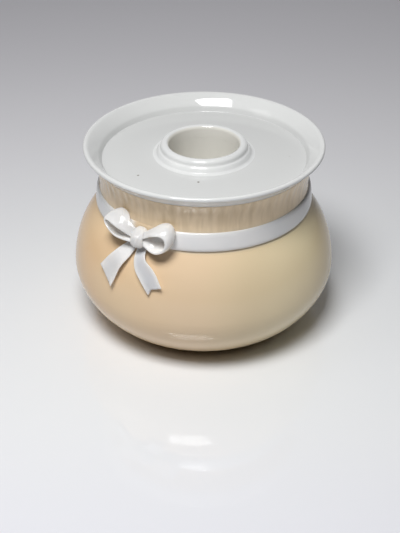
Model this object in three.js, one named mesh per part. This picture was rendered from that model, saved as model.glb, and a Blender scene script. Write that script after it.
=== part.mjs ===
// Porcelain candle holder: a squat round pot whose gathered neck is tied with a ribbon and a
// hand-modelled bow, closed by a flared drip dish with a raised collar over a candle cup.
// The pieces are formed one by one in clay and luted together with slip before a single firing.
// Millimetres, +Z up. The origin is on the pot's axis in the plane that the foot stands on.
// Angles round the pot are measured from the front, which is -Y, towards +X.

import * as THREE from "three";

const HEIGHT = 66.8; // table to the crest of the dish's rim
const LUTE_GAP = 0.3; // slip between luted pieces

// pot
const FOOT_DIA = 54;
const FOOT_WIDTH = 3;
const FOOT_EDGE = 1.2; // upright edge of the foot ring
const FOOT_RECESS = 1.8; // height of the base inside the foot ring
const BELLY_DIA = 92.6;
const BELLY_Z = 22.3;
const BELLY_FULLNESS = 10; // length of the upright run into the widest circle from below
const BASE_SPREAD = 9.5; // length of the flat run out from the foot
const SHOULDER_DIA = 74;
const SHOULDER_SLOPE = 9.2; // length of the 45 degree run into the neck
const BELLY_LIFT = 0.9; // length of the upright run out of the widest circle
const POT_WALL = 3;
const VENT_DIA = 5; // lets air out of the closed pot in the kiln

// neck, gathered like cloth above the ribbon
const WAIST_DIA = 72.1;
const GATHER_HEIGHT = 8.6;
const GATHER_COUNT = 72;
const GATHER_DEPTH = 0.4;
const GATHER_UNEVENNESS = 0.3; // share of the depth that varies round the neck
const GATHER_START = 0.12; // shares of the height where the folds begin and where they are full
const GATHER_FULL = 0.6;
const MOUTH_DIA = 75.6;
const MOUTH_LAND = 0.7; // flat top edge of the neck wall
const MOUTH_LEDGE = 1.4; // flat shelf inside the mouth
const BEVEL_SLOPE = 0.6; // inward run of the mouth's bevel for each millimetre down

// ribbon
const RIBBON_WIDTH = 6.1;
const RIBBON_THICKNESS = 0.85;
const RIBBON_REVEAL = 1.1; // bare neck below the ribbon
const RIBBON_MARGIN = 1.7; // bare neck above the ribbon, below the gathers
const RIBBON_EASE = 0.35; // fall of the bow's bed for each millimetre past the ribbon's edges

// drip dish
const RIM_OVERHANG = 3.2; // beyond the neck's mouth
const RIM_RISE = 4.2; // from the seat on the mouth to the crest
const RIM_LIP = 1.5;
const RIM_EDGE = 0.8; // rounding of the crest
const DISH_DEPTH = 5.65;
const DISH_FLOOR_DIA = 69; // at the foot of the rim's slope
const FLOOR_CROWN = 1.2; // rise of the floor from there to the candle hole
const DISH_THICKNESS = 2.6;

// collar and candle cup, for a household candle 22 across its foot
const CUP_MOUTH_DIA = 24;
const CUP_SEAT_DIA = 22.6;
const CUP_DEPTH = 24; // crest of the collar to the seat
const CUP_WALL = 2.2;
const CUP_FLOOR = 2.5;
const COLLAR_HEIGHT = 5; // crest above the edge of the dish's floor
const COLLAR_LIP = 2.9; // width of the rolled lip
const COLLAR_FLARE = 0.5; // how far the wall spreads from the lip down to the foot
const COLLAR_FOOT = 1.1; // how far the foot spreads beyond the wall
const COLLAR_FOOT_RISE = 1.5; // its top above the floor beside it

// bow
const BOW_ANGLE = THREE.MathUtils.degToRad(-31.3);
const KNOT_RISE = 3.1; // knot centre above the ribbon's lower edge
const KNOT_WIDTH = 4.1;
const KNOT_SHIFT = -0.7; // its middle, round the pot from where the loops meet
const KNOT_CROWN = 0.5; // swelling of the knot's front up and down
const KNOT_SWELL = 0.25; // swelling of the knot's front from side to side
const KNOT_PINCH = 0.14; // share of the width lost at the knot's middle
const KNOT_CORNER = 0.5;
const KNOT_TUCK = 0.55; // share of the way that its lower end is tucked under the roots
const STRIP = 0.8; // thickness of the rolled clay strip
const ROOT_HEIGHT = 1.6; // the two strips of a loop pinched together under the knot
const ROOT_PROUD = 3.1; // front of the pinched roots
const LOOP_PROUD = 5.1; // front edge of the loops at their tips
const LOOP_BULGE = 0.9; // swelling of the loops between their two edges
const ARC_PROUD = 4.1; // outside the waist, the circle that distances round the pot are taken on
// loops: an edge on the pot and an edge at the brim, each a teardrop that starts at the knot
const LEFT_LOOP = {
  side: -1,
  base: { reach: 12.8, height: 8.8, climb: 1.9, taper: 2.2, drop: 0.2 },
  brim: { reach: 13.8, height: 3.9, climb: 2.3, taper: 1.3, drop: 2.1 },
};
const RIGHT_LOOP = {
  side: 1,
  base: { reach: 12, height: 7.4, climb: 2.3, taper: 1.7, drop: -0.1 },
  brim: { reach: 10.4, height: 6.6, climb: 1.2, taper: 1.1, drop: 0.2 },
};
const TAIL_LIFT = 0.9; // how far a tail arches off the pot
const TAIL_FLAT = 0.15; // share of a tail that lies flat under the knot
const NOTCH_SHARPNESS = 6;
// tails: points down the middle as [arc from the knot, height from the knot, width]
const LEFT_TAIL = {
  path: [
    [-2.0, 0.0, 2.3],
    [-4.7, -6.1, 4.1],
    [-7.0, -9.5, 4.5],
    [-8.6, -12.4, 5.1],
    [-10.0, -16.4, 7.4],
  ],
  notch: 0,
  notchPlace: 0,
  slant: 0.9, // how far the cut is drawn back at its left corner
};
const RIGHT_TAIL = {
  path: [
    [1.0, 0.0, 2.5],
    [0.2, -5.8, 3.5],
    [1.5, -9.2, 4.2],
    [4.9, -12.2, 5.2],
    [7.6, -15.9, 5.0],
  ],
  notch: 1.1,
  notchPlace: 0.3,
  slant: 0,
};

// fineness
const TURN_STEPS = 72;
const BORE_STEPS = 48;
const GATHER_STEPS = 4 * GATHER_COUNT;
const CURVE_STEPS = 7;
const LOOP_STEPS = 30;
const TAIL_STEPS = 11;

// heights and radii that follow from the sizes above
const footRadius = FOOT_DIA / 2;
const bellyRadius = BELLY_DIA / 2;
const shoulderRadius = SHOULDER_DIA / 2;
const waistRadius = WAIST_DIA / 2;
const mouthRadius = MOUTH_DIA / 2;
const rimSeatZ = HEIGHT - RIM_RISE;
const mouthZ = rimSeatZ - LUTE_GAP;
const waistZ = mouthZ - GATHER_HEIGHT;
const ribbonTopZ = waistZ - RIBBON_MARGIN;
const ribbonLowZ = ribbonTopZ - RIBBON_WIDTH;
const shoulderZ = ribbonLowZ - RIBBON_REVEAL;
const floorZ = HEIGHT - DISH_DEPTH;
const dishUnderZ = floorZ - DISH_THICKNESS;
const ledgeZ = dishUnderZ - LUTE_GAP;
const dishRadius = mouthRadius + RIM_OVERHANG;
const floorCrownZ = floorZ + FLOOR_CROWN;
const collarCrestZ = floorZ + COLLAR_HEIGHT;
const seatZ = collarCrestZ - CUP_DEPTH;
const knotZ = ribbonLowZ + KNOT_RISE;
const arcRadius = waistRadius + ARC_PROUD;

// materials
const glaze = (color, roughness) => new THREE.MeshStandardMaterial({ color, roughness, metalness: 0 });
const creamGlaze = glaze(0xdcc59f, 0.14);
const whiteGlaze = glaze(0xe4e4e3, 0.12);
const collarGlaze = glaze(0xe9e9e7, 0.12);
const cupGlaze = glaze(0xc9c7c1, 0.3);
const ribbonGlaze = glaze(0xdcdfe1, 0.14);
const bowGlaze = glaze(0xebebee, 0.12);

const { lerp, smoothstep } = THREE.MathUtils;

// Bore of the collar, dish and cup: one straight taper from the crest down to the seat.
function boreRadius(z) {
  const share = (z - seatZ) / CUP_DEPTH;
  return lerp(CUP_SEAT_DIA / 2, CUP_MOUTH_DIA / 2, share);
}

// Triangles between two closed rings, walked side by side whatever their point counts.
function bridge(faces, startA, countA, startB, countB) {
  let a = 0;
  let b = 0;
  while (a < countA || b < countB) {
    const cornerA = startA + (a % countA);
    const cornerB = startB + (b % countB);
    if (b === countB || (a < countA && (a + 1) * countB <= (b + 1) * countA)) {
      faces.push(cornerA, startA + ((a + 1) % countA), cornerB);
      a += 1;
    } else {
      faces.push(cornerA, startB + ((b + 1) % countB), cornerB);
      b += 1;
    }
  }
}

// Closes the end of a strip. Its section runs across the outer face and back across the inner one.
function capStrip(faces, start, count, flipped) {
  for (let i = 0; i < count / 2 - 1; i += 1) {
    const near = start + i;
    const far = start + count - 1 - i;
    const quad = [near, far, far - 1, near, far - 1, near + 1];
    faces.push(...(flipped ? quad.reverse() : quad));
  }
}

// A closed body through a row of sections. An endless row joins its last section to the first;
// any other row is a strip with an end at each side.
function bodyFromSections(sections, endless) {
  const faces = [];
  const starts = [];
  let total = 0;
  for (const section of sections) {
    starts.push(total);
    total += section.length;
  }
  const last = sections.length - 1;
  for (let k = 0; k < (endless ? last + 1 : last); k += 1) {
    const next = (k + 1) % sections.length;
    bridge(faces, starts[k], sections[k].length, starts[next], sections[next].length);
  }
  if (!endless) {
    capStrip(faces, starts[0], sections[0].length, false);
    capStrip(faces, starts[last], sections[last].length, true);
  }
  const geometry = new THREE.BufferGeometry();
  geometry.setAttribute("position", new THREE.Float32BufferAttribute(sections.flat(2), 3));
  geometry.setIndex(faces);
  geometry.computeVertexNormals();
  return geometry;
}

// A turned body: the outline [radius, height] runs up the outside and comes back down the inside,
// and is closed on itself unless it starts and ends on the axis.
function turned(outline, steps) {
  const closed = outline[0][0] > 0 ? [...outline, outline[0]] : outline;
  const points = closed.map(([radius, z]) => new THREE.Vector2(radius, z));
  const geometry = new THREE.LatheGeometry(points, steps);
  geometry.rotateX(Math.PI / 2);
  return geometry;
}

// Outline of the pot's outside, foot to mouth.
const vec = (radius, z) => new THREE.Vector2(radius, z);
const bellyCurve = new THREE.CubicBezierCurve(
  vec(footRadius, FOOT_EDGE),
  vec(footRadius + BASE_SPREAD, FOOT_EDGE),
  vec(bellyRadius, BELLY_Z - BELLY_FULLNESS),
  vec(bellyRadius, BELLY_Z),
);
const shoulderCurve = new THREE.CubicBezierCurve(
  vec(bellyRadius, BELLY_Z),
  vec(bellyRadius, BELLY_Z + BELLY_LIFT),
  vec(shoulderRadius + SHOULDER_SLOPE, shoulderZ - SHOULDER_SLOPE),
  vec(shoulderRadius, shoulderZ),
);
const gatherCurve = new THREE.QuadraticBezierCurve(
  vec(waistRadius, waistZ),
  vec(waistRadius, lerp(waistZ, mouthZ, 0.5)),
  vec(mouthRadius, mouthZ),
);

const fineOutline = [bellyCurve, shoulderCurve, gatherCurve].flatMap((curve) => curve.getPoints(40));

function potRadius(z) {
  const upper = Math.max(1, fineOutline.findIndex((point) => point.y >= z));
  const low = fineOutline[upper - 1];
  const high = fineOutline[upper];
  return lerp(low.x, high.x, (z - low.y) / (high.y - low.y || 1));
}

// One ring of the pot in the gathers. The folds deepen from nothing near the waist to full depth
// and are a little uneven, as if drawn up by hand.
function gatherRing(radius, z) {
  const fade = smoothstep((z - waistZ) / GATHER_HEIGHT, GATHER_START, GATHER_FULL);
  return Array.from({ length: GATHER_STEPS }, (_, i) => {
    const angle = (2 * Math.PI * i) / GATHER_STEPS;
    const uneven = 1 - GATHER_UNEVENNESS * Math.sin(5 * angle) * Math.sin(9 * angle + 1);
    const fold = 0.5 - 0.5 * Math.cos(GATHER_COUNT * angle);
    const r = radius - GATHER_DEPTH * fade * uneven * fold;
    return [r * Math.sin(angle), -r * Math.cos(angle), z];
  });
}

function plainRing(radius, z, steps) {
  return Array.from({ length: steps }, (_, i) => {
    const angle = (2 * Math.PI * i) / steps;
    return [radius * Math.sin(angle), -radius * Math.cos(angle), z];
  });
}

// The bevel inside the mouth, as a radius at a height; the dish's plug follows it a slip gap inside.
const ledgeOuterRadius = mouthRadius - MOUTH_LAND - BEVEL_SLOPE * (mouthZ - ledgeZ);
function bevelRadius(z) {
  return lerp(ledgeOuterRadius, mouthRadius - MOUTH_LAND, (z - ledgeZ) / (mouthZ - ledgeZ));
}

// Pot: foot ring, belly, shoulder, gathered neck and bevelled mouth outside; an even wall inside.
function potBody() {
  const ventRadius = VENT_DIA / 2;
  const rings = [
    plainRing(ventRadius, FOOT_RECESS, BORE_STEPS / 2),
    plainRing(footRadius - FOOT_WIDTH, FOOT_RECESS, TURN_STEPS),
    plainRing(footRadius - FOOT_WIDTH, 0, TURN_STEPS),
    plainRing(footRadius, 0, TURN_STEPS),
  ];
  const bellyPoints = bellyCurve.getPoints(CURVE_STEPS);
  const shoulderPoints = shoulderCurve.getPoints(CURVE_STEPS).slice(1);
  for (const point of [...bellyPoints, ...shoulderPoints]) {
    rings.push(plainRing(point.x, point.y, TURN_STEPS));
  }
  rings.push(plainRing(waistRadius, waistZ, TURN_STEPS));
  for (const share of [0.25, 0.45, 0.72, 1]) {
    const point = gatherCurve.getPoint(share);
    rings.push(gatherRing(point.x, point.y));
  }
  rings.push(plainRing(mouthRadius - MOUTH_LAND, mouthZ, TURN_STEPS));
  rings.push(plainRing(ledgeOuterRadius, ledgeZ, TURN_STEPS));
  rings.push(plainRing(ledgeOuterRadius - MOUTH_LEDGE, ledgeZ, BORE_STEPS));
  rings.push(plainRing(waistRadius - POT_WALL, waistZ, BORE_STEPS));
  for (const curve of [shoulderCurve, bellyCurve]) {
    for (const share of [0.95, 0.75, 0.5, 0.25, 0]) {
      const point = curve.getPoint(share);
      const along = curve.getTangent(share);
      rings.push(plainRing(point.x - POT_WALL * along.y, point.y + POT_WALL * along.x, BORE_STEPS));
    }
  }
  rings.push(plainRing(ventRadius, FOOT_EDGE + POT_WALL, BORE_STEPS / 2));
  return bodyFromSections(rings, true);
}

// The floor of the dish at a radius: it rises a little from the rim's slope to the candle hole.
function floorHeight(radius) {
  const edge = DISH_FLOOR_DIA / 2;
  return lerp(floorZ, floorCrownZ, (edge - radius) / (edge - boreRadius(floorCrownZ)));
}

// Drip dish: plug and bevel below, flared rim outside, a hollow inside that opens like a trumpet
// from a steep foot, and a hole for the candle.
function dripDish() {
  const plugGap = LUTE_GAP * Math.hypot(1, BEVEL_SLOPE);
  const flare = new THREE.QuadraticBezierCurve(
    vec(mouthRadius, rimSeatZ),
    vec(mouthRadius + 0.35 * RIM_OVERHANG, rimSeatZ + 0.5 * RIM_RISE),
    vec(dishRadius - RIM_EDGE / 3, HEIGHT - 2 * RIM_EDGE),
  );
  const innerRadius = dishRadius - RIM_LIP;
  const floorRadius = DISH_FLOOR_DIA / 2;
  const hollow = new THREE.CubicBezierCurve(
    vec(innerRadius, HEIGHT - 0.04 * DISH_DEPTH),
    vec(innerRadius - 0.32 * DISH_DEPTH, HEIGHT - 0.21 * DISH_DEPTH),
    vec(floorRadius + 0.2 * DISH_DEPTH, floorZ + 0.38 * DISH_DEPTH),
    vec(floorRadius + 0.1 * DISH_DEPTH, floorZ + 0.07 * DISH_DEPTH),
  );
  const outline = [
    [boreRadius(dishUnderZ), dishUnderZ],
    [bevelRadius(dishUnderZ) - plugGap, dishUnderZ],
    [bevelRadius(rimSeatZ) - plugGap, rimSeatZ],
    ...flare.getPoints(4).map((point) => [point.x, point.y]),
    [dishRadius, HEIGHT - RIM_EDGE],
    [dishRadius - 0.3 * RIM_EDGE, HEIGHT - 0.3 * RIM_EDGE],
    [dishRadius - RIM_EDGE, HEIGHT],
    ...hollow.getPoints(6).map((point) => [point.x, point.y]),
    [floorRadius, floorZ],
    [boreRadius(floorCrownZ), floorCrownZ],
  ];
  return turned(outline, TURN_STEPS);
}

// Collar: rolled lip over a wall that spreads a little, and a foot that slopes out to the floor.
function candleCollar() {
  const crownRadius = (CUP_MOUTH_DIA + COLLAR_LIP) / 2;
  const wallRadius = CUP_MOUTH_DIA / 2 + COLLAR_LIP + COLLAR_FLARE;
  const spreadRadius = wallRadius + COLLAR_FOOT;
  const footSeatZ = floorHeight(spreadRadius) + LUTE_GAP;
  const footTopZ = floorHeight(spreadRadius) + COLLAR_FOOT_RISE;
  const boreLowZ = floorCrownZ + LUTE_GAP;
  const rollZ = collarCrestZ - COLLAR_LIP / 2;
  const lip = new THREE.CubicBezierCurve(
    vec(wallRadius, footTopZ),
    vec(wallRadius, lerp(footTopZ, collarCrestZ, 0.6)),
    vec(wallRadius - COLLAR_FLARE, collarCrestZ),
    vec(crownRadius, collarCrestZ),
  );
  const roll = new THREE.QuadraticBezierCurve(
    vec(crownRadius, collarCrestZ),
    vec(CUP_MOUTH_DIA / 2, collarCrestZ),
    vec(boreRadius(rollZ), rollZ),
  );
  const outline = [
    [boreRadius(boreLowZ), boreLowZ],
    [spreadRadius, footSeatZ],
    [spreadRadius - 0.2 * COLLAR_FOOT, lerp(footSeatZ, footTopZ, 0.6)],
    [spreadRadius - 0.7 * COLLAR_FOOT, footTopZ],
    ...lip.getPoints(5).map((point) => [point.x, point.y]),
    ...roll.getPoints(3).slice(1).map((point) => [point.x, point.y]),
  ];
  return turned(outline, BORE_STEPS);
}

// Candle cup: a closed tapering cup hung under the dish.
function candleCup() {
  const topZ = dishUnderZ - LUTE_GAP;
  const underZ = seatZ - CUP_FLOOR;
  const corner = 0.3 * CUP_FLOOR;
  const outerAt = (z) => boreRadius(z) + CUP_WALL;
  const outline = [
    [0, underZ],
    [outerAt(underZ) - CUP_FLOOR, underZ],
    [outerAt(underZ) - corner, underZ + corner],
    [outerAt(seatZ), seatZ],
    [outerAt(topZ), topZ],
    [boreRadius(topZ), topZ],
    [boreRadius(seatZ), seatZ],
    [0, seatZ],
  ];
  return turned(outline, BORE_STEPS);
}

// The neck leans straight from the shoulder to the waist, and the ribbon lies on it.
function neckRadius(z) {
  return lerp(shoulderRadius, waistRadius, (z - shoulderZ) / (waistZ - shoulderZ));
}

function ribbonRadius(z) {
  return neckRadius(z) + LUTE_GAP + RIBBON_THICKNESS;
}

function ribbonBand() {
  const round = 0.45 * RIBBON_THICKNESS;
  const middleZ = (ribbonLowZ + ribbonTopZ) / 2;
  const outline = [
    [neckRadius(ribbonLowZ) + LUTE_GAP, ribbonLowZ],
    [ribbonRadius(ribbonLowZ) - round, ribbonLowZ],
    [ribbonRadius(ribbonLowZ + round), ribbonLowZ + round],
    [ribbonRadius(middleZ), middleZ],
    [ribbonRadius(ribbonTopZ - round), ribbonTopZ - round],
    [ribbonRadius(ribbonTopZ) - round, ribbonTopZ],
    [neckRadius(ribbonTopZ) + LUTE_GAP, ribbonTopZ],
  ];
  return turned(outline, TURN_STEPS);
}

// The surface that the bow lies on: the ribbon with eased edges, and the pot above and below it.
function bedRadius(z) {
  const onRibbonZ = THREE.MathUtils.clamp(z, ribbonLowZ, ribbonTopZ);
  const eased = ribbonRadius(onRibbonZ) - RIBBON_EASE * Math.abs(z - onRibbonZ);
  return Math.max(potRadius(z), eased);
}

// A point by the distance round the pot from the knot, the height from the knot's centre and the
// distance that it stands proud of the bed.
function bowPoint(arc, height, proud) {
  const angle = BOW_ANGLE + arc / arcRadius;
  const radius = bedRadius(knotZ + height) + proud;
  return [radius * Math.sin(angle), -radius * Math.cos(angle), knotZ + height];
}

// The same, but proud of the sloping shoulder at right angles to it.
function bowPointSquare(arc, height, proud) {
  const span = 3;
  const z = knotZ + height;
  const widening = bedRadius(z + span / 2) - bedRadius(z - span / 2);
  const length = Math.hypot(widening, span);
  const angle = BOW_ANGLE + arc / arcRadius;
  const radius = bedRadius(z) + (proud * span) / length;
  return [radius * Math.sin(angle), -radius * Math.cos(angle), z - (proud * widening) / length];
}

// Loops and knot lie over the roots of the tails, with slip below and above them.
const overTails = STRIP + 3 * LUTE_GAP;

// Outline of one edge of a loop, a teardrop that starts with the pinched root at the knot.
// The turn runs from 0 at the root over the top to a half at the tip and back below to 1.
function tearPoint(edge, turn) {
  const { taper } = edge;
  const peak = 2 * ((taper + 1) / (taper + 2)) ** ((taper + 1) / 2) / Math.sqrt(taper + 2);
  const angle = 2 * Math.PI * turn;
  const share = (1 - Math.cos(angle)) / 2;
  const tear = (Math.sin(angle) * Math.sin(angle / 2) ** taper) / peak;
  const pinch = 0.5 * ROOT_HEIGHT * (1 - share) ** 2 * (turn < 0.5 ? 1 : -1);
  return [lerp(LUTE_GAP / 2, edge.reach, share), pinch + 0.5 * edge.height * tear];
}

// A point at a depth inside the outline, or outside it where the depth is negative.
function tearAside(edge, turn, depth) {
  const step = 1e-3;
  const level = THREE.MathUtils.clamp(turn, step, 1 - step);
  const [x, y] = tearPoint(edge, turn);
  const [beforeX, beforeY] = tearPoint(edge, level - step);
  const [afterX, afterY] = tearPoint(edge, level + step);
  const length = Math.hypot(afterX - beforeX, afterY - beforeY);
  return [x + (depth * (afterY - beforeY)) / length, y - (depth * (afterX - beforeX)) / length];
}

// Where the two halves of the strip part, just outside the knot.
function partingTurn(edge) {
  let turn = 0.01;
  while (turn < 0.45 && tearAside(edge, turn, STRIP)[1] < LUTE_GAP / 2) {
    turn += 0.002;
  }
  return turn;
}

// One ring of a loop at a share of the way from its base on the pot to its brim.
function loopRing(loop, share, inside) {
  const edge = {};
  for (const size of Object.keys(loop.base)) {
    edge[size] = lerp(loop.base[size], loop.brim[size], share);
  }
  const start = inside ? partingTurn(edge) : 0;
  return Array.from({ length: LOOP_STEPS }, (_, i) => {
    const turn = lerp(start, 1 - start, i / (LOOP_STEPS - 1));
    const bulge = 4 * LOOP_BULGE * share * (1 - share) * Math.sin(Math.PI * turn);
    const [x, y] = tearAside(edge, turn, (inside ? STRIP : 0) - bulge);
    const along = x / edge.reach;
    const base = lerp(overTails, LUTE_GAP, smoothstep(x, KNOT_WIDTH, 1.8 * KNOT_WIDTH));
    const brim = lerp(ROOT_PROUD, LOOP_PROUD, smoothstep(along, 0.1, 0.7));
    const middle = edge.climb * along - edge.drop * (1 - along);
    return bowPoint(loop.side * x, y + middle, lerp(base, brim, share));
  });
}

// Loop of the bow: a strip of clay that leaves the knot, turns round and comes back, open to the
// front like cloth. It is the piece that takes the most skill to form by hand.
function bowLoop(loop) {
  const rings = [
    loopRing(loop, 1, false),
    loopRing(loop, 0.5, false),
    loopRing(loop, 0, false),
    loopRing(loop, 0, true),
    loopRing(loop, 0.5, true),
    loopRing(loop, 1, true),
  ];
  return bodyFromSections(loop.side > 0 ? rings : rings.reverse(), true);
}

// How far the pinched roots of the loops reach up or down under the knot, along one of their edges.
function rootReach(edgeName, direction) {
  let farthest = 0;
  for (const loop of [LEFT_LOOP, RIGHT_LOOP]) {
    const edge = loop[edgeName];
    const covered = KNOT_WIDTH / 2 + loop.side * KNOT_SHIFT + LUTE_GAP;
    for (let turn = 0; turn < 1; turn += 0.005) {
      const [x, y] = tearPoint(edge, turn);
      const middle = (edge.climb * x) / edge.reach - edge.drop * (1 - x / edge.reach);
      if (x <= covered) {
        farthest = Math.max(farthest, direction * (y + middle));
      }
    }
  }
  return farthest + LUTE_GAP;
}

// Knot: a short strip bent over the roots of the loops, its lower end tucked in over the tails.
function bowKnot() {
  const front = ROOT_PROUD + LUTE_GAP;
  const high = rootReach("base", 1);
  const highFront = Math.min(rootReach("brim", 1), high);
  const low = rootReach("base", -1);
  const lowFront = Math.max(rootReach("brim", -1), low);
  const tuck = [
    -lerp(lowFront, low, KNOT_TUCK),
    lerp(front - KNOT_CORNER, overTails, KNOT_TUCK),
  ];
  const inner = [
    [high, LUTE_GAP],
    [high, overTails + LUTE_GAP / 2],
    [highFront, front],
    [0.5 * highFront, front + 0.8 * KNOT_CROWN],
    [(highFront - lowFront) / 2, front + KNOT_CROWN],
    [-0.6 * lowFront, front + 0.8 * KNOT_CROWN],
    [-lowFront + 0.7 * KNOT_CORNER, front + 0.2 * KNOT_CROWN],
    [-lowFront, front - KNOT_CORNER],
    tuck,
  ];
  const sections = inner.map(([height, proud], i) => {
    const before = inner[Math.max(i - 1, 0)];
    const after = inner[Math.min(i + 1, inner.length - 1)];
    const length = Math.hypot(after[0] - before[0], after[1] - before[1]);
    const outHeight = (STRIP * (after[1] - before[1])) / length;
    const outProud = (-STRIP * (after[0] - before[0])) / length;
    const fromEnds = 1 - Math.abs(height) / (height > 0 ? high : lowFront);
    const halfWidth = 0.5 * KNOT_WIDTH * (1 - KNOT_PINCH * fromEnds);
    const across = [1, 0.5, -0.5, -1];
    const outerFace = across.map((column) => {
      const swell = Math.abs(column) < 1 ? KNOT_SWELL * Math.sign(outProud) : 0;
      const arc = KNOT_SHIFT + column * halfWidth;
      return bowPoint(arc, height + outHeight, proud + outProud + swell);
    });
    const innerFace = across
      .toReversed()
      .map((column) => bowPoint(KNOT_SHIFT + column * halfWidth, height, proud));
    return [...outerFace, ...innerFace];
  });
  return bodyFromSections(sections, false);
}

// Tail: a flat strip from under the knot, arching a little off the pot on its way down.
function bowTail(tail) {
  const path = new THREE.CatmullRomCurve3(tail.path.map((stop) => new THREE.Vector3(...stop)));
  const columns = [-1, -0.4, tail.notchPlace, 1].sort((a, b) => a - b);
  const sections = [];
  for (let i = 0; i <= TAIL_STEPS; i += 1) {
    const share = i / TAIL_STEPS;
    const middle = path.getPoint(share);
    const along = path.getTangent(share);
    const length = Math.hypot(along.x, along.y);
    const free = THREE.MathUtils.clamp((share - TAIL_FLAT) / (1 - TAIL_FLAT), 0, 1);
    const lift = Math.sin(Math.PI * free) ** 2;
    const proud = LUTE_GAP + TAIL_LIFT * lift;
    const place = (column, out) => {
      const side = 0.5 * column * middle.z;
      const fromNotch = column - tail.notchPlace;
      const depth = 1 - Math.abs(fromNotch) / (1 - tail.notchPlace * Math.sign(fromNotch));
      const back = (tail.notch * depth + tail.slant * column) * share ** NOTCH_SHARPNESS;
      const arc = middle.x + (side * along.y - back * along.x) / length;
      const height = middle.y - (side * along.x + back * along.y) / length;
      return bowPointSquare(arc, height, out);
    };
    sections.push([
      ...columns.map((column) => place(column, proud + STRIP)),
      ...columns.toReversed().map((column) => place(column, proud)),
    ]);
  }
  return bodyFromSections(sections, false);
}

function piece(name, geometry, material) {
  const mesh = new THREE.Mesh(geometry, material);
  mesh.name = name;
  return mesh;
}

const bow = new THREE.Group();
bow.add(piece("bow_knot", bowKnot(), bowGlaze));
bow.add(piece("bow_loop_left", bowLoop(LEFT_LOOP), bowGlaze));
bow.add(piece("bow_loop_right", bowLoop(RIGHT_LOOP), bowGlaze));
bow.add(piece("bow_tail_left", bowTail(LEFT_TAIL), bowGlaze));
bow.add(piece("bow_tail_right", bowTail(RIGHT_TAIL), bowGlaze));

const candleHolder = new THREE.Group();
candleHolder.add(piece("pot_body", potBody(), creamGlaze));
candleHolder.add(piece("drip_dish", dripDish(), whiteGlaze));
candleHolder.add(piece("candle_collar", candleCollar(), collarGlaze));
candleHolder.add(piece("candle_cup", candleCup(), cupGlaze));
candleHolder.add(piece("ribbon_band", ribbonBand(), ribbonGlaze));
candleHolder.add(bow);

export default candleHolder;
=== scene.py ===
"""Glazed looks for a porcelain candle holder: a round pot tied at the neck with a ribbon and bow,
closed by a flared drip dish with a collar over a candle cup. Sizes are in millimetres until the
meshes are made. An outline is a list of (radius, height) points. Angles round the pot start at
the front, which is -Y, and turn towards +X."""

import math

import bpy
import numpy as np
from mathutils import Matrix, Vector


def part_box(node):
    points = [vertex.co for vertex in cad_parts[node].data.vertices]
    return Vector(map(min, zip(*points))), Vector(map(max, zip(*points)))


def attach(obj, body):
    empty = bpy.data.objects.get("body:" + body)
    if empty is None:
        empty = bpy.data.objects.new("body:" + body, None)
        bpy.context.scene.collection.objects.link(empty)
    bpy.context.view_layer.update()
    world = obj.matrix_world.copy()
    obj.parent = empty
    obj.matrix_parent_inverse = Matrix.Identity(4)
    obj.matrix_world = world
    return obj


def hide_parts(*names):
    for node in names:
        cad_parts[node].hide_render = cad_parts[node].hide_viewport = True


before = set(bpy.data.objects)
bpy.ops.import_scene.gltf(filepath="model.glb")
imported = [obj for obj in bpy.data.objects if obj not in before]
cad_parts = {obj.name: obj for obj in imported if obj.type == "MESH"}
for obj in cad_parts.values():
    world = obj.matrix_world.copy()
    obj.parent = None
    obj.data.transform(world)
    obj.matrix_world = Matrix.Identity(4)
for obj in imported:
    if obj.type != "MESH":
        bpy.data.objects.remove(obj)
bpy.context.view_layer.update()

MM = 0.001
EASE_STEPS = 5
SHARP_ANGLE = math.radians(40)  # edges sharper than this are shaded as edges


def span(node):
    """Outer radius, lowest height and highest height of a solid."""
    low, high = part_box(node)
    return [round(value / MM, 3) for value in (high[0], low[2], high[2])]


# Sizes taken from the solids
BELLY_RADIUS, _, MOUTH_Z = span("pot_body")
DISH_RADIUS, DISH_UNDER_Z, HEIGHT = span("drip_dish")
_, _, COLLAR_CREST_Z = span("candle_collar")
_, CUP_UNDER_Z, _ = span("candle_cup")
_, RIBBON_SOLID_LOW_Z, RIBBON_SOLID_TOP_Z = span("ribbon_band")
SLIP = 0.3  # gap that the solids keep for the slip between luted pieces

# Pot
FOOT_RADIUS = 27.0
FOOT_WIDTH = 3.0
FOOT_EDGE = 1.2  # upright edge of the foot ring
FOOT_RECESS = 1.8  # height of the base inside the foot ring
RECESS_EASE = 0.5
FOOT_INNER_EASE = 0.4
FOOT_OUTER_EASE = 0.6
VENT_RADIUS = 2.5
POT_WALL = 3.0
BASE_SPREAD = 9.5  # length of the flat run out from the foot
BELLY_Z = 22.3
BELLY_FULLNESS = 10.0  # length of the upright run into the widest circle from below
BELLY_LIFT = 0.9  # length of the upright run out of it
SHOULDER_RADIUS = 37.0
SHOULDER_Z = RIBBON_SOLID_LOW_Z - 1.1
SHOULDER_SLOPE = 9.2  # length of the 45 degree run into the neck

# Gathered neck
WAIST_RADIUS = 36.05
WAIST_Z = MOUTH_Z - 8.6
MOUTH_RADIUS = 37.8
MOUTH_EDGE = 0.2  # height of the mouth's outer edge
MOUTH_EDGE_TILT = 0.03
MOUTH_LAND = 0.7  # flat top edge of the neck's wall
LEDGE_Z = DISH_UNDER_Z - SLIP
LEDGE_INSET = 3.1  # from the mouth's radius to the shelf inside it
LEDGE_WIDTH = 1.4
GATHER_COUNT = 72
GATHER_DEPTH = 0.22
GATHER_START = -1.0  # heights over the waist where the folds begin and where they are full
GATHER_FULL = 6.0
GATHER_SKIN = 0.6  # depth of the wall's skin that the folds are drawn in
GATHER_SHARPNESS = 1.4  # how narrow a crease is beside the swelling between two
GATHER_UNEVENNESS = 0.9
GATHER_SWAY = 9.0  # how far noise turns the folds to one side, as an angle of their wave
GATHER_SWAY_SCALE = 4.5
GATHER_SWELL = 1.6  # how far noise deepens them
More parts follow.
